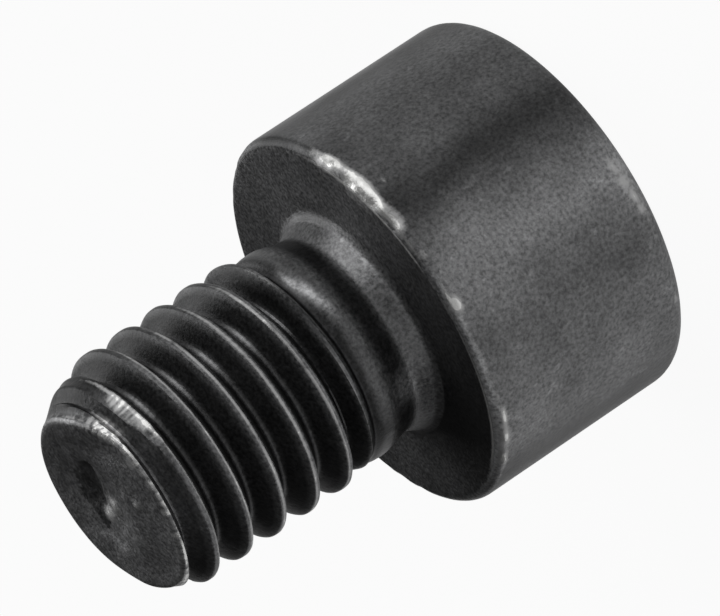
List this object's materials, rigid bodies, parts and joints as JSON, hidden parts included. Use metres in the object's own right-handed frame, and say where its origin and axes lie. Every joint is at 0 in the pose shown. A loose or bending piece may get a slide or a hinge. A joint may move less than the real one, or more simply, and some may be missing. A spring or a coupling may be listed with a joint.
{
  "type": "socket head cap screw",
  "caption": "Short metric cap screw with a smooth cylindrical head, hexagonal socket, filleted neck and rolled right-hand thread to a tapered point.",
  "frame": {"origin": "middle of the flat top of the head, on which the screw stands", "axes": "+Z along the screw's axis, from the top of the head to the point"},
  "size_m": [0.01, 0.01, 0.0138],
  "materials": {
    "black_oxide_steel": "matt black oxide, worn bright on edges"
  },
  "bodies": {
    "root": {"screw": "black_oxide_steel"}
  },
  "joints": []
}
